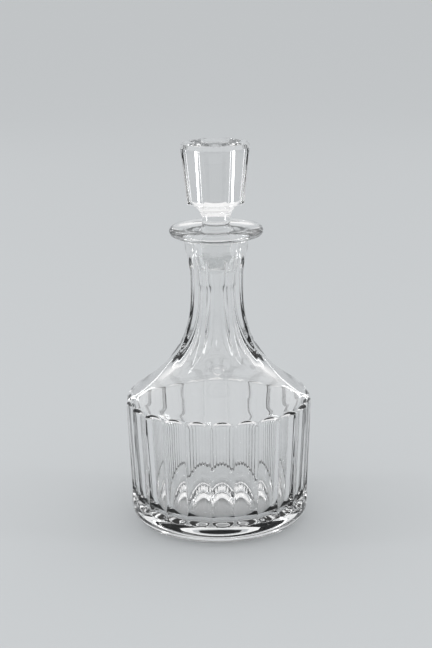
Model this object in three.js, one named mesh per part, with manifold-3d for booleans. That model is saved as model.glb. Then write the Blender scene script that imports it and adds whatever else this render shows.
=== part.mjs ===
// A cut-glass carafe: a bottle with upright flutes cut round its body and its neck,
// and a solid eight-sided stopper whose ground peg hangs in the neck.
// Millimetres, +Z up, origin in the middle of the plane it stands on, front towards -Y.
import * as THREE from 'three';
import { mergeVertices } from 'three/addons/utils/BufferGeometryUtils.js';
import Module from 'manifold-3d';

// Bottle body: the blank before cutting
const bodyRadius = 60.2;
const bodyTaper = 3.0;
const wallHeight = 77;
const footRounding = 11.5;
const restRingWidth = 9;
const puntDepth = 3.8;
const shoulderRounding = 12.5;
const shoulderSlope = 36;

// Bottle neck: a sweep up from the shoulder cone, a waist, and a flare to the lip
const sweepRadius = 45.6;
const sweepHeight = 62.5;
const sweepStart = 0.165;
const sweepEnd = 0.318;
const neckRadius = 18.3;
const neckFlareHeight = 28;
const neckTopRadius = 20.2;
const flareStart = 0.4;
const flareEnd = 0.35;
const flareLean = 0.6;

// Lip: a flat disc with a rounded rim and a shallow dish round the mouth
const lipRadius = 29.6;
const lipThickness = 6;
const lipRise = 3.6;
const lipFilletOut = 0.6;
const lipFilletUp = 0.7;
const dishDepth = 2.4;
const mouthFlare = 1.9;

// Hollow of the bottle
const wallThickness = 5.5;
const floorThickness = 9;
const floorRounding = 17;
const boreRadius = 7.2;
const seatLength = 32.7;
const seatStep = 2;

// Flutes of the body
const bodyFluteCount = 24;
const bodyFluteHollow = 2.2;
const bodyRidgeDepth = 0.2;
const bodyFluteFoot = 14.5;
const bodyFluteHead = 79;
const bodyWheelRadius = 3;
const bodyFluteTurn = 1.9;

// Flutes of the neck
const neckFluteCount = 8;
const neckFluteHollow = 0.4;
const neckRidgeDepth = 0.35;
const neckFluteRun = 12.3;
const neckFluteGap = 4;
const neckWheelRadius = 45;
const neckFluteTurn = 0;

// Stopper, measured from the plane of the mouth
const pegLength = 22;
const pegTopRadius = 9.9;
const pegTaper = 0.065;
const pegChamfer = 0.8;
const pegClearance = 0.3;
const waistRadius = 8.85;
const waistFoot = 6;
const waistLength = 1.5;
const throatRadius = 13.5;
const throatHeight = 9.5;
const throatStart = 0.42;
const throatEnd = 0.26;
const throatLean = 0.6;
const headSides = 8;
const headHollow = 0.35;
const headFootRadius = 19.4;
const headFootRise = 2.8;
const headTopRadius = 23.5;
const headHeight = 34.6;
const bevelHeight = 2.3;
const bevelWidth = 2;
const stopperTurn = -0.5;

// Facets that stand for round forms, and the least distances that are told apart
const columnsPerFlute = 4;
const columnsPerSide = 4;
const hollowColumns = 48;
const outlineSteps = 48;
const hollowSteps = 4;
const edgeSteps = 4;
const fluteEndSteps = 3;
const shoulderSteps = 3;
const neckSteps = 9;
const throatSteps = 4;
const weldDistance = 1e-4;
const tiny = 1e-6;

const footRadius = bodyRadius - bodyTaper;
const degrees = Math.PI / 180;
const wasm = await Module();
wasm.setup();

// The outline of one wall of the bottle, from its foot to the waist of its neck. The outer
// wall has inset 0; the inner wall is the same outline set in by the glass.
function wallOutline(inset, floor, rounding, neck, waist) {
  const slope = shoulderSlope * degrees;
  const shoulderCentre = bodyRadius - shoulderRounding;
  const shoulder = Math.max(shoulderRounding - inset, 1);
  const turn = Math.PI / 2 - slope;
  const coneFoot = wallHeight + shoulder * Math.sin(turn);
  const coneFootRadius = shoulderCentre + shoulder * Math.cos(turn);
  const coneTopRadius = sweepRadius - inset * Math.sin(slope);
  const coneTop = coneFoot + (coneFootRadius - coneTopRadius) * Math.tan(slope);
  const foot = footRadius - inset;
  const lift = waist(coneTop) - coneTop;

  const path = new THREE.Path();
  path.moveTo(foot - rounding, floor);
  path.absarc(foot - rounding, floor + rounding, rounding, -Math.PI / 2, 0, false);
  path.lineTo(shoulderCentre + shoulder, wallHeight);
  path.absarc(shoulderCentre, wallHeight, shoulder, 0, turn, false);
  path.lineTo(coneTopRadius, coneTop);
  path.bezierCurveTo(
    coneTopRadius - sweepStart * lift, coneTop + sweepStart * lift * Math.tan(slope),
    neck, coneTop + sweepEnd * lift,
    neck, coneTop + lift);
  return { path, coneTop, waist: coneTop + lift };
}

// Radius of a finely drawn outline at a height
function radiusAt(outline, height) {
  let above = outline.findIndex((point) => point.y > height);
  if (above === -1) above = outline.length - 1;
  const a = outline[Math.max(above - 1, 0)];
  const b = outline[Math.max(above, 1)];
  const share = (height - a.y) / Math.max(b.y - a.y, tiny);
  return a.x + (b.x - a.x) * THREE.MathUtils.clamp(share, 0, 1);
}

// Height between low and high where the difference of two surfaces changes its sign
function crossing(low, high, difference) {
  const sign = Math.sign(difference(low));
  for (let step = 0; step < 40; step++) {
    const middle = (low + high) / 2;
    if (Math.sign(difference(middle)) === sign) low = middle;
    else high = middle;
  }
  return (low + high) / 2;
}

function spread(low, high, count) {
  return Array.from({ length: count }, (_, step) => low + (high - low) * step / count);
}

// Shares of a turn or a length, from the first step to 1
function shares(count) {
  return Array.from({ length: count }, (_, step) => (step + 1) / count);
}

// Radius that a flute's wheel leaves, at an angle off the flute's middle: a chord between
// two ridges, ground hollow by the wheel's rounded rim.
function fluteRadius(ridge, angle, halfAngle, hollow) {
  const across = angle / halfAngle;
  return (ridge * Math.cos(halfAngle) - hollow * (1 - across * across)) / Math.cos(angle);
}

// Angle of a column off the middle of its nearest flute
function offMiddle(angle, count) {
  const pitch = 2 * Math.PI / count;
  return angle - Math.round(angle / pitch) * pitch;
}

// How far a wheel has lifted out of its cut, past the height where it starts to lift
function runOut(past, wheelRadius) {
  return past > 0 ? past * past / (2 * wheelRadius) : 0;
}

// Where a wheel must start to lift so that the middle of its flute ends at a given height
function liftLength(radius, halfAngle, hollow, ridgeDepth, wheelRadius) {
  const lift = (radius + hollow) / Math.cos(halfAngle) - radius + ridgeDepth;
  return Math.sqrt(2 * wheelRadius * lift);
}

// The outer wall
const neckWaist = (coneTop) => coneTop + sweepHeight;
const outer = wallOutline(0, 0, footRounding, neckRadius, neckWaist);
const neckTop = outer.waist + neckFlareHeight;
outer.path.bezierCurveTo(
  neckRadius, outer.waist + neckFlareHeight * flareStart,
  neckTopRadius - flareLean, neckTop - neckFlareHeight * flareEnd,
  neckTopRadius, neckTop);
const blank = outer.path.getPoints(outlineSteps);
const blankRadius = (height) => radiusAt(blank, height);

// The body's flutes follow the wall and run out at the foot and over the shoulder
const bodyHalf = Math.PI / bodyFluteCount;
const bodyLift = bodyFluteFoot
  + liftLength(footRadius, bodyHalf, bodyFluteHollow, bodyRidgeDepth, bodyWheelRadius);
function bodyFlute(angle, height) {
  const ridge = blankRadius(height) - bodyRidgeDepth
    + runOut(bodyLift - height, bodyWheelRadius)
    + runOut(height - bodyFluteHead, bodyWheelRadius);
  return fluteRadius(ridge, offMiddle(angle, bodyFluteCount), bodyHalf, bodyFluteHollow);
}

// The neck's flutes start under the lip, follow the neck and run out on the shoulder
const neckHalf = Math.PI / neckFluteCount;
const neckFluteFoot = outer.coneTop + neckFluteRun;
const neckFluteTop = neckTop - neckFluteGap;
const neckLift = (height) => liftLength(
  blankRadius(height), neckHalf, neckFluteHollow, neckRidgeDepth, neckWheelRadius);
const neckLiftLow = neckFluteFoot + neckLift(neckFluteFoot);
const neckLiftHigh = neckFluteTop - neckLift(neckFluteTop);
function neckFlute(angle, height) {
  const ridge = blankRadius(height) - neckRidgeDepth
    + runOut(neckLiftLow - height, neckWheelRadius)
    + runOut(height - neckLiftHigh, neckWheelRadius);
  return fluteRadius(ridge, offMiddle(angle, neckFluteCount), neckHalf, neckFluteHollow);
}

// The lip and the mouth
const rimRadius = lipThickness / 2;
const lipFoot = neckTop + lipRise;
const lipTop = lipFoot + lipThickness;
const mouthHeight = lipTop - dishDepth - mouthFlare;
const seatTopRadius = pegTopRadius + pegClearance;
const mouthRadius = seatTopRadius + mouthFlare;

// One column of the bottle's outer skin, from the middle of its base to the middle of its
// lip, as points of radius, height and turn. Its rows meet the edges of both kinds of flute.
function bottleColumn(angle) {
  const middle = (bodyLift + bodyFluteHead) / 2;
  const body = (height) => bodyFlute(angle, height) - blankRadius(height);
  const neck = (height) => neckFlute(angle, height) - blankRadius(height);
  const bodyFoot = crossing(footRounding, middle, body);
  const bodyTop = crossing(middle, outer.coneTop, body);
  const neckFoot = crossing(outer.coneTop, neckLiftLow, neck);
  const neckEnd = crossing(neckLiftHigh, neckTop, neck);
  const at = (radius, height, turn) => ({ radius, height, turn });
  const round = (heights, turn) => heights.map((h) => at(blankRadius(h), h, turn));
  const cut = (heights, flute, turn) => heights.map((h) => at(flute(angle, h), h, turn));

  const restRadius = footRadius - footRounding;
  const rows = [
    at(0, puntDepth, bodyFluteTurn),
    at(restRadius - restRingWidth, 0, bodyFluteTurn),
    at(restRadius, 0, bodyFluteTurn),
  ];
  for (const share of shares(edgeSteps)) {
    const around = share * Math.PI / 2;
    rows.push(at(restRadius + footRounding * Math.sin(around),
      footRounding * (1 - Math.cos(around)), bodyFluteTurn));
  }
  rows.push(...round([bodyFoot], bodyFluteTurn));
  rows.push(...cut([(bodyFoot + bodyLift) / 2, bodyLift, middle], bodyFlute, bodyFluteTurn));
  rows.push(...cut(spread(bodyFluteHead, bodyTop, fluteEndSteps), bodyFlute, bodyFluteTurn));
  rows.push(...round(spread(bodyTop, outer.coneTop, shoulderSteps), bodyFluteTurn));
  rows.push(...round([outer.coneTop, neckFoot], neckFluteTurn));
  rows.push(...cut(spread(neckFoot, neckEnd, neckSteps).slice(1), neckFlute, neckFluteTurn));
  rows.push(...round([neckEnd, neckTop], neckFluteTurn));

  const rimCentre = lipRadius - rimRadius;
  rows.push(at(neckTopRadius + lipRise * lipFilletOut, neckTop + lipRise * lipFilletUp,
    neckFluteTurn));
  for (const share of [0, ...shares(edgeSteps)]) {
    const around = share * Math.PI;
    rows.push(at(rimCentre + rimRadius * Math.sin(around),
      lipFoot + rimRadius * (1 - Math.cos(around)), neckFluteTurn));
  }
  rows.push(at(mouthRadius, lipTop - dishDepth, neckFluteTurn));
  rows.push(at(0, lipTop - dishDepth, neckFluteTurn));
  return rows;
}

// A closed skin of columns side by side, each with the same number of rows
function skin(column, columns) {
  const outline = column(0).map((row) => new THREE.Vector2(row.radius, row.height));
  const geometry = new THREE.LatheGeometry(outline, columns);
  const position = geometry.attributes.position;
  for (let i = 0; i <= columns; i++) {
    const angle = 2 * Math.PI * (i % columns) / columns;
    column(angle).forEach((row, j) => {
      const azimuth = angle + row.turn * degrees;
      position.setXYZ(i * outline.length + j,
        row.radius * Math.sin(azimuth), -row.radius * Math.cos(azimuth), row.height);
    });
  }
  return closed(geometry);
}

// The same surface with shared vertices and without the empty faces at the axis
function closed(geometry) {
  geometry.deleteAttribute('normal');
  geometry.deleteAttribute('uv');
  const merged = mergeVertices(geometry, weldDistance);
  const index = merged.index.array;
  const kept = [];
  for (let face = 0; face < index.length; face += 3) {
    const [a, b, c] = index.slice(face, face + 3);
    if (a !== b && b !== c && c !== a) kept.push(a, b, c);
  }
  merged.setIndex(kept);
  return merged;
}

function solid(geometry) {
  return new wasm.Manifold(new wasm.Mesh({
    numProp: 3,
    vertProperties: new Float32Array(geometry.attributes.position.array),
    triVerts: new Uint32Array(geometry.index.array),
  }));
}

function toGeometry(manifold) {
  const mesh = manifold.getMesh();
  const geometry = new THREE.BufferGeometry();
  geometry.setAttribute('position', new THREE.BufferAttribute(mesh.vertProperties, 3));
  geometry.setIndex(new THREE.BufferAttribute(mesh.triVerts, 1));
  geometry.computeVertexNormals();
  return geometry;
}

// The hollow: floor, inner wall, funnel, bore, the stopper's tapered seat and the mouth
function hollowGeometry() {
  const seatFoot = mouthHeight - seatLength;
  const seatFootRadius = seatTopRadius - seatLength * pegTaper;
  const inner = wallOutline(wallThickness, floorThickness, floorRounding, boreRadius,
    () => seatFoot - seatStep);
  const outline = [new THREE.Vector2(0, floorThickness)];
  outline.push(...inner.path.getPoints(hollowSteps));
  outline.push(new THREE.Vector2(seatFootRadius, seatFoot));
  outline.push(new THREE.Vector2(seatTopRadius, mouthHeight));
  outline.push(new THREE.Vector2(mouthRadius + mouthFlare, mouthHeight + 2 * mouthFlare));
  outline.push(new THREE.Vector2(0, mouthHeight + 2 * mouthFlare));
  const geometry = new THREE.LatheGeometry(outline, hollowColumns);
  geometry.rotateX(Math.PI / 2);
  return closed(geometry);
}

// One column of the stopper: a round peg and waist under a head with eight hollow sides
function stopperColumn(angle) {
  const half = Math.PI / headSides;
  const waistTop = waistFoot + waistLength;
  const throatTop = waistTop + throatHeight;
  const headFoot = throatTop + headFootRise;
  const headTop = headFoot + headHeight;
  const side = (radius) => fluteRadius(radius, offMiddle(angle, headSides), half, headHollow);
  const at = (radius, height) => ({ radius, height, turn: stopperTurn });
  const sideRadius = (height) => side(THREE.MathUtils.mapLinear(
    height, headFoot, headTop, headFootRadius, headTopRadius));
  const underside = (height) => THREE.MathUtils.mapLinear(
    height, throatTop, headFoot, throatRadius, headFootRadius);
  const sideFoot = crossing(throatTop, headFoot + tiny,
    (height) => sideRadius(height) - underside(height));

  const flare = throatRadius - waistRadius;
  const throat = new THREE.CubicBezierCurve(
    new THREE.Vector2(waistRadius, waistTop),
    new THREE.Vector2(waistRadius, waistTop + throatHeight * throatStart),
    new THREE.Vector2(throatRadius - flare * throatLean, throatTop - throatHeight * throatEnd),
    new THREE.Vector2(throatRadius, throatTop));

  const tipRadius = pegTopRadius - pegLength * pegTaper;
  return [
    at(0, -pegLength),
    at(tipRadius - pegChamfer, -pegLength),
    at(tipRadius, -pegLength + pegChamfer),
    at(pegTopRadius, 0),
    at(waistRadius, waistFoot),
    ...throat.getPoints(throatSteps).map((point) => at(point.x, point.y)),
    at(underside(sideFoot), sideFoot),
    at(sideRadius(headTop), headTop),
    at(side(headTopRadius - bevelWidth), headTop + bevelHeight),
    at(0, headTop + bevelHeight),
  ];
}

const clearGlass = { roughness: 0.03, metalness: 0, transparent: true, opacity: 0.35 };
const bottleGlass = new THREE.MeshStandardMaterial({ color: '#e9eeee', ...clearGlass });
const stopperGlass = new THREE.MeshStandardMaterial({ color: '#eef1f0', ...clearGlass });

const outerForm = solid(skin(bottleColumn, bodyFluteCount * columnsPerFlute));
const hollow = solid(hollowGeometry());
const bottle = new THREE.Mesh(toGeometry(outerForm.subtract(hollow)), bottleGlass);
bottle.name = 'bottle';

const stopperGeometry = skin(stopperColumn, headSides * columnsPerSide);
stopperGeometry.computeVertexNormals();
const stopper = new THREE.Mesh(stopperGeometry, stopperGlass);
stopper.name = 'stopper';
stopper.position.z = mouthHeight;

const carafe = new THREE.Group();
carafe.name = 'cut_glass_carafe';
carafe.add(bottle, stopper);

export default carafe;
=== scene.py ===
"""A cut-glass carafe with a faceted stopper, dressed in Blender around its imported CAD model."""
import math

import bpy
import numpy as np
from bpy.props import FloatProperty, FloatVectorProperty, IntProperty, PointerProperty
from mathutils import Euler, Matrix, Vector


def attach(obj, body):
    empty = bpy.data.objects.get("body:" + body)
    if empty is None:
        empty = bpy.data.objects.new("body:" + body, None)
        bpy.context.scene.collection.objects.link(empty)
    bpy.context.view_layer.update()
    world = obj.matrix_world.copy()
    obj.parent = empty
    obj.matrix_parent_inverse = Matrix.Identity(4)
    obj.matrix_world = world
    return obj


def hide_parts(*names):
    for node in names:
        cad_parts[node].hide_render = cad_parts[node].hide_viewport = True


bl_info = {
    "name": "Cut Glass Carafe",
    "version": (1, 0, 0),
    "blender": (4, 5, 0),
    "location": "3D View > Sidebar > Carafe",
    "description": "Builds a carafe of cut glass with its stopper, and a plain studio for it",
    "category": "Object",
}

MM = 0.001
IMAGE_HEIGHT = 648

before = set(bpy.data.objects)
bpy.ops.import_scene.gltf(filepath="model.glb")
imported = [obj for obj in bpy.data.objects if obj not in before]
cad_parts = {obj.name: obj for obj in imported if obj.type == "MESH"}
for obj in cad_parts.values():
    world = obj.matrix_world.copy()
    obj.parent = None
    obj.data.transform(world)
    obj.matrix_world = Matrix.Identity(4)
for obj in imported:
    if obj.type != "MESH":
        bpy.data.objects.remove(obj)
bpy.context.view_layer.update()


# Sizes and colours that a user would change

def length(name, description, millimetres):
    return FloatProperty(
        name=name, description=description, default=millimetres * MM, min=0.0,
        precision=4, subtype="DISTANCE", unit="LENGTH")


def number(name, description, default):
    return IntProperty(name=name, description=description, default=default, min=3)


def share(name, description, default):
    return FloatProperty(
        name=name, description=description, default=default, min=0.0, max=1.0,
        subtype="FACTOR")


def turn(name, description, degrees):
    return FloatProperty(
        name=name, description=description, default=math.radians(degrees), subtype="ANGLE")


def colour(name, description, default):
    return FloatVectorProperty(
        name=name, description=description, default=default, subtype="COLOR",
        size=3, min=0.0, max=1.0)


def srgb(code):
    """A linear colour from an sRGB hex value."""
    parts = [int(code[i:i + 2], 16) / 255 for i in (1, 3, 5)]
    return tuple(p / 12.92 if p <= 0.04045 else ((p + 0.055) / 1.055) ** 2.4 for p in parts)


class CarafeBottleSizes(bpy.types.PropertyGroup):
    body_radius: length("Body radius", "Widest radius of the blank", 60.2)
    body_taper: length("Body taper", "How much narrower the foot is", 3.0)
    wall_height: length("Wall height", "Where the shoulder starts to turn in", 77.0)
    foot_rounding: length("Foot rounding", "Radius of the foot's edge", 11.5)
    rest_ring: length("Resting ring", "Width of the flat ring underneath", 9.0)
    punt_depth: length("Punt depth", "Depth of the hollow underneath", 3.8)
    shoulder_rounding: length("Shoulder rounding", "Radius of the shoulder", 12.5)
    shoulder_slope: turn("Shoulder slope", "Slope of the shoulder's cone", 36.0)
    sweep_radius: length("Sweep radius", "Where the cone turns up to the neck", 45.6)
    sweep_height: length("Sweep height", "Rise from there to the neck's waist", 62.5)
    sweep_start: share("Sweep start", "Pull of the cone on the sweep", 0.165)
    sweep_end: share("Sweep end", "Pull of the neck on the sweep", 0.318)
    neck_radius: length("Neck radius", "Radius of the neck's waist", 18.3)
    neck_flare: length("Neck flare", "Height from the waist to the lip", 28.0)
    neck_top_radius: length("Neck top radius", "Radius under the lip", 20.2)
    flare_start: share("Flare start", "Pull of the waist on the flare", 0.4)
    flare_end: share("Flare end", "Pull of the lip on the flare", 0.35)
    flare_lean: length("Flare lean", "How far the flare leans out at its top", 0.6)
    lip_radius: length("Lip radius", "Outer radius of the lip", 29.6)
    lip_thickness: length("Lip thickness", "Thickness of the lip's rim", 6.0)
    lip_rise: length("Lip rise", "Height of the fillet under the lip", 3.6)
    dish_depth: length("Dish depth", "Depth of the dish round the mouth", 2.4)
    mouth_flare: length("Mouth flare", "Rounding of the mouth's edge", 1.9)
    wall: length("Wall", "Thickness of the glass before cutting", 5.5)
    floor: length("Floor", "Thickness of the base", 9.0)
    floor_rounding: length("Floor rounding", "Radius inside the base", 17.0)
    bore_radius: length("Bore radius", "Radius of the bore below the seat", 7.2)
    seat_length: length("Seat length", "Length of the stopper's seat", 32.7)
    seat_step: length("Seat step", "Height of the step below the seat", 2.0)


class CarafeFluteSizes(bpy.types.PropertyGroup):
    body_count: number("Body flutes", "Flutes round the body", 24)
    body_hollow: length("Body hollow", "Hollow of a body flute", 2.2)
    body_ridge_depth: length("Body ridge depth", "Cut depth at a ridge", 0.2)
    body_softness: length("Body softness", "Rounding of the polished ridges", 0.8)
    body_foot: length("Body flute foot", "Height where a flute ends", 14.5)
    body_head: length("Body flute head", "Height where the wheel lifts out", 79.0)
    body_wheel: length("Body wheel", "Radius of the wheel at both ends", 3.0)
    body_turn: turn("Body turn", "Turn of the body's flutes", 1.9)
    neck_count: number("Neck flutes", "Flutes round the neck", 8)
    neck_hollow: length("Neck hollow", "Hollow of a neck flute", 0.4)
    neck_ridge_depth: length("Neck ridge depth", "Cut depth at a ridge", 0.35)
    neck_softness: length("Neck softness", "Rounding of the polished ridges", 0.4)
    neck_run: length("Neck flute run", "From the cone's top to a flute's end", 12.3)
    neck_gap: length("Neck flute gap", "From the lip down to a flute's top", 4.0)
    neck_wheel: length("Neck wheel", "Radius of the wheel at both ends", 45.0)
    neck_turn: turn("Neck turn", "Turn of the neck's flutes", 0.0)


class CarafeStopperSizes(bpy.types.PropertyGroup):
    peg_length: length("Peg length", "Length of the peg below the mouth", 22.0)
    peg_top_radius: length("Peg top radius", "Radius of the peg at the mouth", 9.9)
    peg_taper: share("Peg taper", "Radius lost along the peg, over its length", 0.065)
    peg_chamfer: length("Peg chamfer", "Bevel at the peg's tip", 0.8)
    peg_clearance: length("Peg clearance", "Gap between peg and seat", 0.3)
    ground_length: length("Ground length", "Length of the ground zone at the tip", 10.0)
    waist_radius: length("Waist radius", "Radius of the waist", 8.85)
    waist_foot: length("Waist foot", "Height where the waist starts", 6.0)
    waist_length: length("Waist length", "Length of the waist", 1.5)
    throat_radius: length("Throat radius", "Radius where the throat ends", 13.5)
    throat_height: length("Throat height", "Height of the throat", 9.5)
    throat_start: share("Throat start", "Pull of the waist on the throat, over its height", 0.42)
    throat_end: share("Throat end", "Pull of the head on the throat, over its height", 0.26)
    throat_lean: share("Throat lean", "Lean of that pull, over the throat's flare", 0.6)
    head_sides: number("Head sides", "Sides of the head", 8)
    head_hollow: length("Head hollow", "Hollow of a side", 0.35)
    head_foot_radius: length("Head foot radius", "Radius of the lower corners", 19.4)
    head_foot_rise: length("Head foot rise", "Rise of the underside", 2.8)
    head_top_radius: length("Head top radius", "Radius of the upper corners", 23.5)
    head_height: length("Head height", "Height of the sides", 34.6)
    bevel_height: length("Bevel height", "Height of the top bevel", 2.3)
    bevel_width: length("Bevel width", "Width of the top bevel", 2.0)
    ridge_softness: length("Ridge softness", "Rounding of the upright ridges", 1.0)
    edge_softness: length("Edge softness", "Rounding of the edges across", 0.25)
    turn: turn("Turn", "Turn of the stopper", -0.5)


class CarafeLook(bpy.types.PropertyGroup):
    glass: colour("Glass", "Tint of the clear glass", srgb("#FDFDFD"))
    ground: colour("Ground glass", "Tint of the ground glass", srgb("#F3F4F4"))
    floor: colour("Floor", "Colour of the floor", srgb("#C3C6C8"))
    backdrop: colour("Backdrop", "Colour behind the carafe", srgb("#C3C6C8"))
    ceiling: colour("Ceiling", "Colour of the light ceiling", srgb("#FFFFFF"))


# Meshes from columns and rows

# How many times the search for a crossing halves its range
HALVINGS = 40
# How strongly rows gather at the eased end of a stretch
EASE = 1.7
# Places of columns across half a flute or side, gathered towards the ridge
SOFT_RIDGE = (0.0, 0.22, 0.43, 0.62, 0.77, 0.87, 0.93, 0.97)
CRISP_RIDGE = (0.0, 0.3, 0.6, 0.78, 0.85, 0.88, 0.91, 0.94, 0.97)


def soft_min(a, b, softness):
    """The lesser of two radii, with their meeting edge rounded off."""
    near = np.maximum(softness - np.abs(a - b), 0.0) / softness
    return np.minimum(a, b) - near * near * softness / 4


def smooth(steps):
    """Steps from 0 to 1 that start and end slowly."""
    return steps * steps * (3 - 2 * steps)


def flute_radius(ridge, angle, half, hollow):
    """Radius left by a wheel: a chord between two ridges, ground hollow by its rim."""
    across = angle / half
    return (ridge * math.cos(half) - hollow * (1 - across ** 2)) / np.cos(angle)


def fluted(ridge, angle, count, hollow, softness):
    """Radius of a surface with flutes all round and softly polished ridges."""
    half = math.pi / count
    off = np.abs(angle - np.round(angle / (2 * half)) * 2 * half)
    own = flute_radius(ridge, off, half, hollow)
    other = flute_radius(ridge, 2 * half - off, half, hollow)
    return soft_min(own, other, softness)


def crossing(low, high, difference):
    """Where a difference changes sign, for a whole row of columns at once."""
    low, high = np.array(low, float), np.array(high, float)
    sign = np.sign(difference(low))
    for _ in range(HALVINGS):
        middle = (low + high) / 2
        same = np.sign(difference(middle)) == sign
        low = np.where(same, middle, low)
        high = np.where(same, high, middle)
    return (low + high) / 2


def arc(centre, radius, start, end, count):
    """Points of an arc, as radius and height; angles are from the outward direction."""
    turns = np.linspace(start, end, count)
    return [(centre[0] + radius * math.cos(t), centre[1] + radius * math.sin(t)) for t in turns]


def bezier(a, b, c, d, count):
    """Points of a curve from a to d that b and c pull at, as radius and height."""
    a, b, c, d = (np.array(p, float) for p in (a, b, c, d))
    steps = np.linspace(0, 1, count)
    return [tuple((1 - t) ** 3 * a + 3 * (1 - t) ** 2 * t * b + 3 * (1 - t) * t * t * c
                  + t ** 3 * d) for t in steps]


def between(low, high, count, ease=None):
    """Heights from low up to but not reaching high, for all columns; eased where asked."""
    steps = np.arange(count) / count
    if ease == "both":
        steps = smooth(steps)
    elif ease == "start":
        steps = steps ** EASE
    elif ease == "end":
        steps = 1 - (1 - steps) ** EASE
    return [low + (high - low) * step for step in steps]


def column_angles(flutes, places):
    """Angles of all the columns round a piece, alike within each flute or side."""
    half = math.pi / flutes
    across = np.array(places)
    one = np.concatenate([-np.flip(across[1:]), across, [1.0]]) * half
    return np.concatenate([one + 2 * half * i for i in range(flutes)])


def skin(name, angles, rows, turns, marks):
    """A closed mesh from rows of (radius, height) for all columns, from axis to axis.

    turns holds each row's turn about the axis, and marks each row's material slot."""
    columns = len(angles)
    vertices = []
    for (radius, height), turned in zip(rows, turns):
        radius = np.broadcast_to(radius, angles.shape)
        height = np.broadcast_to(height, angles.shape)
        azimuth = angles + turned
        vertices.append(np.stack(
            [radius * np.sin(azimuth), -radius * np.cos(azimuth), height], axis=1))
    foot, top = vertices[0][:1], vertices[-1][:1]
    foot[:, :2] = 0
    top[:, :2] = 0
    points = np.concatenate([foot, *vertices[1:-1], top])
    around = np.arange(columns)
    beside = (around + 1) % columns
    rings = len(rows) - 2
    last = len(points) - 1
    faces = np.stack([around * 0, 1 + beside, 1 + around], 1).tolist()
    slots = [marks[0]] * columns
    for row in range(rings - 1):
        low, high = 1 + row * columns, 1 + (row + 1) * columns
        faces += np.stack([low + around, low + beside, high + beside, high + around], 1).tolist()
        slots += [marks[row + 1]] * columns
    end = 1 + (rings - 1) * columns
    faces += np.stack([end + around, end + beside, around * 0 + last], 1).tolist()
    slots += [marks[-1]] * columns
    mesh = bpy.data.meshes.new(name)
    mesh.from_pydata(points.tolist(), [], faces)
    mesh.polygons.foreach_set("material_index", slots)
    mesh.shade_smooth()
    if mesh.validate():
        raise RuntimeError(f"{name} has faulty faces: check its sizes")
    made = bpy.data.objects.new(name, mesh)
    bpy.context.scene.collection.objects.link(made)
    return made


# The bottle's outline and its flutes

# How many points each long curve of an outline has; the inner skin keeps one of three
OUTLINE_POINTS = 120
INNER_SWEEP_STEP = 3
# How many rows each stretch of the bottle's skin has
ROWS = {
    "punt": 7, "foot": 14, "foot_band": 8, "flute_foot": 13, "flute": 4, "flute_head": 14,
    "cone": 12, "sweep": 8, "neck_foot": 12, "neck": 20, "neck_end": 8, "neck_top": 4,
    "lip_underside": 8, "rim": 16, "dish": 12, "mouth": 6, "seat": 8, "ground": 10,
    "socket": 6, "shoulder": 14, "floor": 16,
}
# Pull of the lip and of the mouth's edge on the curve of the dish, over its width
DISH_START, DISH_END = 1 / 3, 1 / 2
# Rings of the flat floor inside, as parts of its radius
FLOOR_PARTS = (2 / 3, 1 / 3, 0.0)


class Flutes:
    """Upright flutes round a blank, cut by a wheel that lifts out at both ends."""

    def __init__(self, blank, count, hollow, ridge_depth, wheel, softness):
        self.blank, self.count, self.hollow = blank, count, hollow
        self.ridge_depth, self.wheel, self.softness = ridge_depth, wheel, softness
        self.low, self.high = 0.0, 0.0

    def lift_length(self, radius):
        """How long the wheel takes to lift out of the middle of a flute."""
        middle = (radius + self.hollow) / math.cos(math.pi / self.count)
        return math.sqrt(2 * self.wheel * (middle - radius + self.ridge_depth))

    def run_out(self, past):
        """How far the wheel has lifted out, past the height where it starts to lift."""
        return np.maximum(past, 0.0) ** 2 / (2 * self.wheel)

    def radius(self, angle, height):
        """Radius of the cut, which is outside the blank beyond the flutes' ends."""
        ridge = (self.blank(height) - self.ridge_depth
                 + self.run_out(self.low - height) + self.run_out(height - self.high))
        return fluted(ridge, angle, self.count, self.hollow, self.softness)

    def ends(self, angle, low, high):
        """Heights of the flutes' lower and upper edges, one for each column."""
        def off_blank(height):
            return self.radius(angle, height) - self.blank(height)

        one = np.ones_like(angle)
        middle = (self.low + self.high) / 2 * one
        return crossing(low * one, middle, off_blank), crossing(middle, high * one, off_blank)


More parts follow.
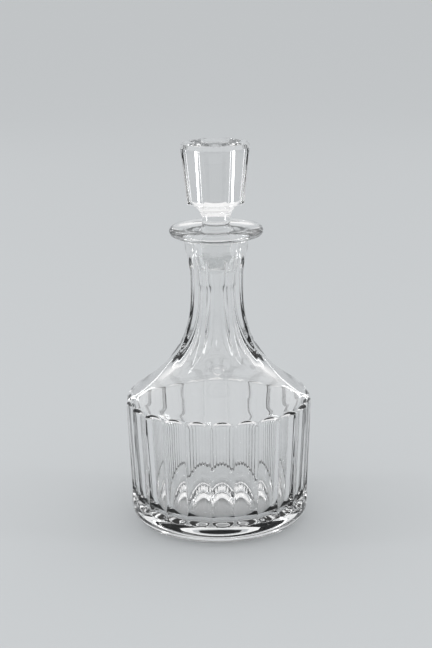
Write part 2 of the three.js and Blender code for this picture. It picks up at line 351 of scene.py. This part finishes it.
class Bottle:
    """Outlines and cuts of the bottle, worked out from its sizes s and its flutes' f."""

    def __init__(self, s, f):
        self.s, self.f = s, f
        self.foot_radius = s.body_radius - s.body_taper
        outer, self.cone_top = self.wall(0.0, 0.0, s.foot_rounding, s.neck_radius, None)
        waist = self.cone_top + s.sweep_height
        self.neck_top = waist + s.neck_flare
        outer += bezier(
            (s.neck_radius, waist), (s.neck_radius, waist + s.neck_flare * s.flare_start),
            (s.neck_top_radius - s.flare_lean, self.neck_top - s.neck_flare * s.flare_end),
            (s.neck_top_radius, self.neck_top), OUTLINE_POINTS)[1:]
        self.outer = np.array(outer)
        self.lip_foot = self.neck_top + s.lip_rise
        self.lip_top = self.lip_foot + s.lip_thickness
        self.mouth = self.lip_top - s.dish_depth - s.mouth_flare
        self.body = Flutes(self.blank, f.body_count, f.body_hollow, f.body_ridge_depth,
                           f.body_wheel, f.body_softness)
        self.body.low = f.body_foot + self.body.lift_length(self.foot_radius)
        self.body.high = f.body_head
        self.neck = Flutes(self.blank, f.neck_count, f.neck_hollow, f.neck_ridge_depth,
                           f.neck_wheel, f.neck_softness)
        low, high = self.cone_top + f.neck_run, self.neck_top - f.neck_gap
        self.neck.low = low + self.neck.lift_length(float(self.blank(low)))
        self.neck.high = high - self.neck.lift_length(float(self.blank(high)))

    def wall(self, inset, floor, rounding, neck, waist):
        """Points of one wall from its foot to the neck's waist, and the cone's top."""
        s = self.s
        turned = math.pi / 2 - s.shoulder_slope
        centre = s.body_radius - s.shoulder_rounding
        shoulder = max(s.shoulder_rounding - inset, MM)
        cone_foot = (centre + shoulder * math.cos(turned),
                     s.wall_height + shoulder * math.sin(turned))
        cone_radius = s.sweep_radius - inset * math.sin(s.shoulder_slope)
        slope = math.tan(s.shoulder_slope)
        cone_top = cone_foot[1] + (cone_foot[0] - cone_radius) * slope
        top = cone_top + s.sweep_height if waist is None else waist
        lift = top - cone_top
        foot = self.foot_radius - inset - rounding
        points = arc((foot, floor + rounding), rounding, -math.pi / 2, 0, ROWS["floor"])
        points += arc((centre, s.wall_height), shoulder, 0, turned, ROWS["shoulder"])
        points += bezier(
            (cone_radius, cone_top),
            (cone_radius - s.sweep_start * lift, cone_top + s.sweep_start * lift * slope),
            (neck, cone_top + s.sweep_end * lift), (neck, top), OUTLINE_POINTS)
        return points, cone_top

    def blank(self, height):
        """Outer radius before cutting."""
        return np.interp(height, self.outer[:, 1], self.outer[:, 0])

    def surface(self, angle, height):
        """Outer radius after both kinds of flute are cut."""
        radius = self.blank(height)
        for flutes in (self.body, self.neck):
            radius = soft_min(radius, flutes.radius(angle, height), flutes.softness)
        return radius


def bottle_rows(shape, angles, peg):
    """Rows of the bottle's whole skin, each row's turn and each row's material slot."""
    s, f = shape.s, shape.f
    one = np.ones_like(angles)
    body, neck = shape.body, shape.neck
    body_foot, body_top = body.ends(angles, s.foot_rounding, shape.cone_top)
    neck_foot, neck_end = neck.ends(angles, shape.cone_top, shape.neck_top)

    rest = shape.foot_radius - s.foot_rounding
    ring = rest - s.rest_ring
    rows = [(ring * step, s.punt_depth * (1 - step ** 2))
            for step in np.linspace(0, 1, ROWS["punt"])]
    rows += [(ring + s.rest_ring / 2, 0.0)]
    rows += arc((rest, s.foot_rounding), s.foot_rounding, -math.pi / 2, 0, ROWS["foot"])[:-1]

    heights = between(s.foot_rounding * one, body_foot, ROWS["foot_band"], "end")
    heights += between(body_foot, body.low * one, ROWS["flute_foot"], "start")
    heights += between(body.low * one, body.high * one, ROWS["flute"])
    heights += between(body.high * one, body_top, ROWS["flute_head"], "end")
    heights += between(body_top, shape.cone_top * one, ROWS["cone"], "start")
    cone_rows = len(rows) + len(heights)
    heights += between(shape.cone_top * one, neck_foot, ROWS["sweep"], "end")
    heights += between(neck_foot, neck.low * one, ROWS["neck_foot"], "start")
    heights += between(neck.low * one, neck.high * one, ROWS["neck"])
    heights += between(neck.high * one, neck_end, ROWS["neck_end"], "end")
    heights += between(neck_end, shape.neck_top * one, ROWS["neck_top"], "start")
    rows += [(shape.surface(angles, height), height) for height in heights]

    rim = s.lip_thickness / 2
    rim_centre = (s.lip_radius - rim, shape.lip_foot + rim)
    mouth_edge = shape.lip_top - s.dish_depth
    seat_top = peg.peg_top_radius + peg.peg_clearance
    rows += bezier(
        (s.neck_top_radius, shape.neck_top),
        (s.neck_top_radius, shape.neck_top + s.lip_rise),
        (s.neck_top_radius + s.lip_rise, shape.lip_foot),
        (rim_centre[0], shape.lip_foot), ROWS["lip_underside"])[:-1]
    rows += arc(rim_centre, rim, -math.pi / 2, math.pi / 2, ROWS["rim"])[:-1]
    dish = rim_centre[0] - seat_top - s.mouth_flare
    rows += bezier(
        (rim_centre[0], shape.lip_top), (rim_centre[0] - dish * DISH_START, shape.lip_top),
        (rim_centre[0] - dish * DISH_END, mouth_edge), (seat_top + s.mouth_flare, mouth_edge),
        ROWS["dish"])[:-1]
    rows += arc((seat_top + s.mouth_flare, shape.mouth), s.mouth_flare,
                math.pi / 2, math.pi, ROWS["mouth"])

    seat_foot = shape.mouth - s.seat_length
    peg_tip = shape.mouth - peg.peg_length
    ground_top = peg_tip + peg.ground_length
    ground_start = len(rows) + ROWS["seat"]
    for high, low, name in ((shape.mouth, ground_top, "seat"), (ground_top, peg_tip, "ground"),
                            (peg_tip, seat_foot, "socket")):
        rows += [(seat_top - (shape.mouth - height) * peg.peg_taper, height)
                 for height in np.linspace(high, low, ROWS[name] + 1)[1:]]
    inner, _ = shape.wall(s.wall, s.floor, s.floor_rounding, s.bore_radius,
                          seat_foot - s.seat_step)
    inner = inner[::-1]
    sweep, below = inner[:OUTLINE_POINTS], inner[OUTLINE_POINTS:]
    rows += sweep[::INNER_SWEEP_STEP] + below
    rows += [(inner[-1][0] * part, s.floor) for part in FLOOR_PARTS]

    turns = np.full(len(rows), f.neck_turn)
    turns[:cone_rows - ROWS["cone"]] = f.body_turn
    blend = smooth(np.linspace(0, 1, ROWS["cone"] + ROWS["sweep"]))
    turns[cone_rows - ROWS["cone"]:cone_rows + ROWS["sweep"]] = (
        f.body_turn + (f.neck_turn - f.body_turn) * blend)
    marks = np.zeros(len(rows), int)
    marks[ground_start:ground_start + ROWS["ground"]] = 1
    return rows, turns, marks.tolist()


# The stopper's outline

# Pull of the peg and of the waist on the curve between them, over its height
PEG_TOP_START, PEG_TOP_END = 0.25, 0.6
# How many rows each stretch of the stopper's skin has
STOPPER_ROWS = {
    "tip": 6, "ground": 10, "peg": 10, "peg_top": 12, "waist": 4, "throat": 14,
    "underside": 8, "sides": 30, "bevel": 8, "rim": 5,
}


def stopper_rows(s, mouth, angles):
    """Rows of the stopper's skin, and each row's material slot."""
    waist_top = s.waist_foot + s.waist_length
    throat_top = waist_top + s.throat_height
    head_foot = throat_top + s.head_foot_rise
    head_top = head_foot + s.head_height
    top = head_top + s.bevel_height
    tip_radius = s.peg_top_radius - s.peg_length * s.peg_taper
    soft = s.edge_softness

    def sides(height):
        part = (height - head_foot) / s.head_height
        radius = s.head_foot_radius + (s.head_top_radius - s.head_foot_radius) * part
        return fluted(radius, angles, s.head_sides, s.head_hollow, s.ridge_softness)

    def bevel(height):
        part = (height - head_top) / s.bevel_height
        radius = s.head_top_radius - s.bevel_width * part
        return fluted(radius, angles, s.head_sides, s.head_hollow, s.ridge_softness)

    def underside(height):
        part = (height - throat_top) / s.head_foot_rise
        return s.throat_radius + (s.head_foot_radius - s.throat_radius) * part

    one = np.ones_like(angles)
    side_foot = crossing(throat_top * one, (head_foot + soft) * one,
                         lambda height: sides(height) - underside(height))
    rows = [(0.0, -s.peg_length), (tip_radius / 2, -s.peg_length)]
    rows += arc((tip_radius - s.peg_chamfer, s.peg_chamfer - s.peg_length), s.peg_chamfer,
                -math.pi / 2, 0, STOPPER_ROWS["tip"])
    # The ground zone starts half-way round the bevel of the tip
    ground_start = len(rows) - STOPPER_ROWS["tip"] // 2
    ground_top = s.ground_length - s.peg_length
    heights = np.concatenate([
        np.linspace(s.peg_chamfer - s.peg_length, ground_top, STOPPER_ROWS["ground"])[1:],
        np.linspace(ground_top, 0, STOPPER_ROWS["peg"])[1:]])
    rows += [(s.peg_top_radius + height * s.peg_taper, height) for height in heights]
    ground_end = len(rows) - STOPPER_ROWS["peg"]
    rows += bezier((s.peg_top_radius, 0), (s.peg_top_radius, s.waist_foot * PEG_TOP_START),
                   (s.waist_radius, s.waist_foot * PEG_TOP_END), (s.waist_radius, s.waist_foot),
                   STOPPER_ROWS["peg_top"])[1:]
    rows += [(s.waist_radius, height)
             for height in np.linspace(s.waist_foot, waist_top, STOPPER_ROWS["waist"])[1:]]
    flare = s.throat_radius - s.waist_radius
    rows += bezier((s.waist_radius, waist_top),
                   (s.waist_radius, waist_top + s.throat_height * s.throat_start),
                   (s.throat_radius - flare * s.throat_lean,
                    throat_top - s.throat_height * s.throat_end),
                   (s.throat_radius, throat_top), STOPPER_ROWS["throat"])[1:]
    for height in between(throat_top * one, side_foot, STOPPER_ROWS["underside"], "end")[1:]:
        rows.append((soft_min(underside(height), sides(height), soft), height))
    for height in between(side_foot, head_top * one, STOPPER_ROWS["sides"], "both"):
        side = soft_min(underside(height), sides(height), soft)
        rows.append((soft_min(side, bevel(height), soft), height))
    rim_foot = top - soft
    for height in between(head_top * one, rim_foot * one, STOPPER_ROWS["bevel"], "both"):
        rows.append((soft_min(sides(height), bevel(height), soft), height))
    rim = bevel(rim_foot)
    rows += [(rim + out, height) for out, height in arc(
        (-soft, rim_foot), soft, 0, math.pi / 2, STOPPER_ROWS["rim"])]
    rows += [(rim / 2, top), (0.0, top)]
    rows = [(radius, height + mouth) for radius, height in rows]
    marks = [0] * len(rows)
    marks[ground_start:ground_end] = [1] * (ground_end - ground_start)
    return rows, marks


# Materials

CRYSTAL_IOR = 1.545
# What one surface of glass lets through to the things that it shades
GLASS_SHADOW = (0.78, 0.78, 0.78, 1.0)
# The slow ripple of glass that was worked hot
RIPPLE_SIZE, RIPPLE_DEPTH = 38 * MM, 0.35 * MM
# Patches that were handled, and the roughness where they were handled most
HANDLING_SIZE, HANDLING_ROUGHNESS = 14 * MM, 0.035
# Real grit is finer than a tenth of a millimetre and is drawn as coarse as it needs to show
GRIT_SIZE, GRIT_DEPTH = 1.6 * MM, 0.15 * MM
GROUND_ROUGHNESS = (0.12, 0.28)


def add_node(tree, kind, settings=None, **links):
    """A node with its settings, and its inputs' values or links.

    An input goes by its name, with _ for a space, or by i and its number."""
    node = tree.nodes.new(kind)
    for key, value in (settings or {}).items():
        setattr(node, key, value)
    for key, value in links.items():
        socket = node.inputs[int(key[1:]) if key[0] == "i" and key[1:].isdigit()
                             else key.replace("_", " ")]
        if isinstance(value, bpy.types.NodeSocket):
            tree.links.new(value, socket)
        else:
            socket.default_value = value
    return node


def new_material(name):
    material = bpy.data.materials.new(name)
    material.use_nodes = True
    material.node_tree.nodes.clear()
    return material, material.node_tree


def light_shadowed(tree, surface):
    """Ends a glass material: light that falls on other things passes straight through it
    and loses a little, so that clear glass casts the light shadow that it has."""
    path = add_node(tree, "ShaderNodeLightPath")
    lighting = add_node(tree, "ShaderNodeMath", {"operation": "MAXIMUM"},
                        i0=path.outputs["Is Shadow Ray"], i1=path.outputs["Is Diffuse Ray"])
    passing = add_node(tree, "ShaderNodeBsdfTransparent", Color=GLASS_SHADOW)
    mixed = add_node(tree, "ShaderNodeMixShader", Fac=lighting.outputs[0], i1=surface,
                     i2=passing.outputs[0])
    add_node(tree, "ShaderNodeOutputMaterial", Surface=mixed.outputs[0])


def polished_cut_crystal(tint):
    """Lead glass, blown, wheel cut and polished: colourless, very bright at its edges, with
    the faint slow ripple of glass that was worked hot and a trace of handling on its gloss."""
    material, tree = new_material("lead_crystal_cut_polished")
    place = add_node(tree, "ShaderNodeTexCoord").outputs["Object"]
    ripple = add_node(tree, "ShaderNodeTexNoise", Vector=place, Scale=1 / RIPPLE_SIZE,
                      Detail=1.5, Roughness=0.4)
    bump = add_node(tree, "ShaderNodeBump", Height=ripple.outputs["Fac"], Strength=0.12,
                    Distance=RIPPLE_DEPTH)
    handling = add_node(tree, "ShaderNodeTexNoise", Vector=place, Scale=1 / HANDLING_SIZE,
                        Detail=4.0, Roughness=0.6)
    gloss = add_node(tree, "ShaderNodeMapRange", Value=handling.outputs["Fac"],
                     From_Min=0.5, From_Max=0.75, To_Min=0.0, To_Max=HANDLING_ROUGHNESS)
    shader = add_node(tree, "ShaderNodeBsdfPrincipled", Base_Color=(*tint, 1.0),
                      Transmission_Weight=1.0, IOR=CRYSTAL_IOR,
                      Roughness=gloss.outputs["Result"], Normal=bump.outputs["Normal"])
    light_shadowed(tree, shader.outputs["BSDF"])
    return material


def ground_crystal(tint):
    """The same glass, ground with fine grit to seat glass on glass: grey-white and matt."""
    material, tree = new_material("lead_crystal_fine_ground")
    place = add_node(tree, "ShaderNodeTexCoord").outputs["Object"]
    grit = add_node(tree, "ShaderNodeTexNoise", Vector=place, Scale=1 / GRIT_SIZE,
                    Detail=3.0, Roughness=0.7)
    bump = add_node(tree, "ShaderNodeBump", Height=grit.outputs["Fac"], Strength=0.5,
                    Distance=GRIT_DEPTH)
    grain = add_node(tree, "ShaderNodeMapRange", Value=grit.outputs["Fac"], From_Min=0.35,
                     From_Max=0.65, To_Min=GROUND_ROUGHNESS[0], To_Max=GROUND_ROUGHNESS[1])
    shader = add_node(tree, "ShaderNodeBsdfPrincipled", Base_Color=(*tint, 1.0),
                      Transmission_Weight=0.95, IOR=CRYSTAL_IOR,
                      Roughness=grain.outputs["Result"], Normal=bump.outputs["Normal"])
    light_shadowed(tree, shader.outputs["BSDF"])
    return material


def finish_materials(made, look):
    """Gives a piece the clear glass and the ground glass, which both pieces share."""
    for name, make, tint in (("clear", polished_cut_crystal, look.glass),
                             ("ground", ground_crystal, look.ground)):
        key = f"carafe_{name}"
        material = bpy.data.materials.get(bpy.context.scene.get(key, ""))
        if material is None:
            material = make(tuple(tint))
            bpy.context.scene[key] = material.name
        made.data.materials.append(material)


class CARAFE_OT_bottle(bpy.types.Operator):
    """Build the cut glass bottle"""
    bl_idname = "carafe.bottle"
    bl_label = "Bottle"

    def execute(self, context):
        scene = context.scene
        shape = Bottle(scene.carafe_bottle, scene.carafe_flutes)
        angles = column_angles(scene.carafe_flutes.body_count, SOFT_RIDGE)
        rows, turns, marks = bottle_rows(shape, angles, scene.carafe_stopper)
        made = skin("cut_glass_bottle", angles, rows, turns, marks)
        finish_materials(made, scene.carafe_look)
        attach(made, "bottle")
        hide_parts("bottle")
        return {"FINISHED"}


class CARAFE_OT_stopper(bpy.types.Operator):
    """Build the faceted stopper with its ground peg"""
    bl_idname = "carafe.stopper"
    bl_label = "Stopper"

    def execute(self, context):
        scene = context.scene
        sizes = scene.carafe_stopper
        shape = Bottle(scene.carafe_bottle, scene.carafe_flutes)
        angles = column_angles(sizes.head_sides, CRISP_RIDGE)
        rows, marks = stopper_rows(sizes, shape.mouth, angles)
        made = skin("cut_glass_stopper", angles, rows, [sizes.turn] * len(rows), marks)
        finish_materials(made, scene.carafe_look)
        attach(made, "stopper")
        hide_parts("stopper")
        return {"FINISHED"}


# The studio

# The camera's place, its turns in radians, and its focal length in pixels of the image
CAMERA_DISTANCE = 1.0
CAMERA_HEIGHT = 0.39376
CAMERA_PITCH = 0.257833
CAMERA_ROLL = -0.013842
CAMERA_YAW = -0.000894
CAMERA_FOCAL_PIXELS = 1619.35
# In millimetres, as a camera's sensor is given
SENSOR_HEIGHT = 24.0
# How far the floor reaches each way, and how little it lies below the foot
FLOOR_REACH = 6.0
FLOOR_GAP = 0.5 * MM
# Rises of the view, as sines, between which the backdrop turns into the ceiling
BACKDROP_TOP = (0.2, 0.45)
LAMP_AIM_HEIGHT = 0.12
# Each lamp's name, place, width and height, and power in watts
LAMPS = (
    ("softbox_left", (-1.6, -0.2, 1.2), (0.25, 0.8), 4.5),
    ("softbox_right", (1.6, -0.4, 1.0), (0.2, 0.8), 3.5),
    ("softbox_front", (-0.5, -1.9, 1.6), (0.25, 0.25), 2.0),
    ("edge_strip_left", (-0.95, 1.6, 0.45), (0.06, 0.9), 0.6),
    ("edge_strip_right", (0.95, 1.6, 0.45), (0.06, 0.9), 0.6),
)


def add_camera():
    """A camera before the carafe that looks a little down on it."""
    data = bpy.data.cameras.new("camera")
    data.sensor_fit = "VERTICAL"
    data.sensor_height = SENSOR_HEIGHT
    data.lens = CAMERA_FOCAL_PIXELS * SENSOR_HEIGHT / IMAGE_HEIGHT
    camera = bpy.data.objects.new("camera", data)
    bpy.context.scene.collection.objects.link(camera)
    camera.location = (0.0, -CAMERA_DISTANCE, CAMERA_HEIGHT)
    aim = Euler((math.pi / 2 - CAMERA_PITCH, 0.0, -CAMERA_YAW), "XYZ").to_matrix()
    roll = Euler((0.0, 0.0, CAMERA_ROLL), "XYZ").to_matrix()
    camera.rotation_euler = (aim @ roll).to_euler()
    bpy.context.scene.camera = camera


def add_lamp(name, place, size, power):
    """A rectangular softbox that faces the carafe and stays out of the camera's sight."""
    data = bpy.data.lights.new(name, "AREA")
    data.shape = "RECTANGLE"
    data.size, data.size_y = size
    data.energy = power
    lamp = bpy.data.objects.new(name, data)
    bpy.context.scene.collection.objects.link(lamp)
    lamp.visible_camera = False
    lamp.location = place
    aim = Vector((0, 0, LAMP_AIM_HEIGHT)) - lamp.location
    lamp.rotation_euler = aim.to_track_quat("-Z", "Y").to_euler()


def add_floor(look):
    """A plain pale sheet under the carafe."""
    corners = [(-FLOOR_REACH, -FLOOR_REACH, 0), (FLOOR_REACH, -FLOOR_REACH, 0),
               (FLOOR_REACH, FLOOR_REACH, 0), (-FLOOR_REACH, FLOOR_REACH, 0)]
    mesh = bpy.data.meshes.new("studio_floor")
    mesh.from_pydata(corners, [], [(0, 1, 2, 3)])
    floor = bpy.data.objects.new("studio_floor", mesh)
    bpy.context.scene.collection.objects.link(floor)
    floor.location.z = -FLOOR_GAP
    mesh.materials.append(matt_studio_paper(look.floor))


def matt_studio_paper(tint):
    """Seamless paper, uncoated: one even pale tone with no gloss."""
    material, tree = new_material("background_paper_uncoated")
    shader = add_node(tree, "ShaderNodeBsdfPrincipled", Base_Color=(*tint, 1.0), Roughness=0.9,
                      Specular_IOR_Level=0.2)
    add_node(tree, "ShaderNodeOutputMaterial", Surface=shader.outputs["BSDF"])
    return material


def add_world(look):
    """Even white light from above, round a pale backdrop that ends low down: the glass's
    edges, base and facets bend the white of the ceiling into the pale tone behind them."""
    world = bpy.data.worlds.new("studio")
    bpy.context.scene.world = world
    world.use_nodes = True
    tree = world.node_tree
    tree.nodes.clear()
    way = add_node(tree, "ShaderNodeTexCoord").outputs["Generated"]
    rise = add_node(tree, "ShaderNodeSeparateXYZ", Vector=way).outputs["Z"]
    above = add_node(tree, "ShaderNodeMapRange", {"interpolation_type": "SMOOTHSTEP"},
                     Value=rise, From_Min=BACKDROP_TOP[0], From_Max=BACKDROP_TOP[1])
    backdrop = add_node(tree, "ShaderNodeBackground", Color=(*look.backdrop, 1.0))
    ceiling = add_node(tree, "ShaderNodeBackground", Color=(*look.ceiling, 1.0))
    room = add_node(tree, "ShaderNodeMixShader", Fac=above.outputs["Result"],
                    i1=backdrop.outputs[0], i2=ceiling.outputs[0])
    add_node(tree, "ShaderNodeOutputWorld", Surface=room.outputs[0])


class CARAFE_OT_stage(bpy.types.Operator):
    """Set up the floor, the lights and the camera"""
    bl_idname = "carafe.stage"
    bl_label = "Studio"

    def execute(self, context):
        look = context.scene.carafe_look
        add_camera()
        add_floor(look)
        add_world(look)
        for name, place, size, power in LAMPS:
            add_lamp(name, place, size, power)
        context.scene.view_settings.view_transform = "Standard"
        return {"FINISHED"}


class CARAFE_PT_panel(bpy.types.Panel):
    """The carafe's steps and sizes"""
    bl_idname = "CARAFE_PT_panel"
    bl_label = "Cut Glass Carafe"
    bl_space_type = "VIEW_3D"
    bl_region_type = "UI"
    bl_category = "Carafe"

    def draw(self, context):
        layout = self.layout
        for operator in OPERATORS:
            layout.operator(operator.bl_idname)
        for name in GROUPS:
            box = layout.box()
            group = getattr(context.scene, name)
            for key in group.bl_rna.properties.keys():
                if key not in ("rna_type", "name"):
                    box.prop(group, key)


OPERATORS = (CARAFE_OT_stage, CARAFE_OT_bottle, CARAFE_OT_stopper)
GROUPS = {
    "carafe_bottle": CarafeBottleSizes,
    "carafe_flutes": CarafeFluteSizes,
    "carafe_stopper": CarafeStopperSizes,
    "carafe_look": CarafeLook,
}


def register():
    for group in GROUPS.values():
        bpy.utils.register_class(group)
    for name, group in GROUPS.items():
        setattr(bpy.types.Scene, name, PointerProperty(type=group))
    for part in (*OPERATORS, CARAFE_PT_panel):
        bpy.utils.register_class(part)


def unregister():
    for part in (CARAFE_PT_panel, *reversed(OPERATORS)):
        bpy.utils.unregister_class(part)
    for name in GROUPS:
        delattr(bpy.types.Scene, name)
    for group in GROUPS.values():
        bpy.utils.unregister_class(group)


def main():
    register()
    bpy.ops.carafe.stage()
    bpy.ops.carafe.bottle()
    bpy.ops.carafe.stopper()
    bpy.context.view_layer.update()


if __name__ == "__main__":
    main()
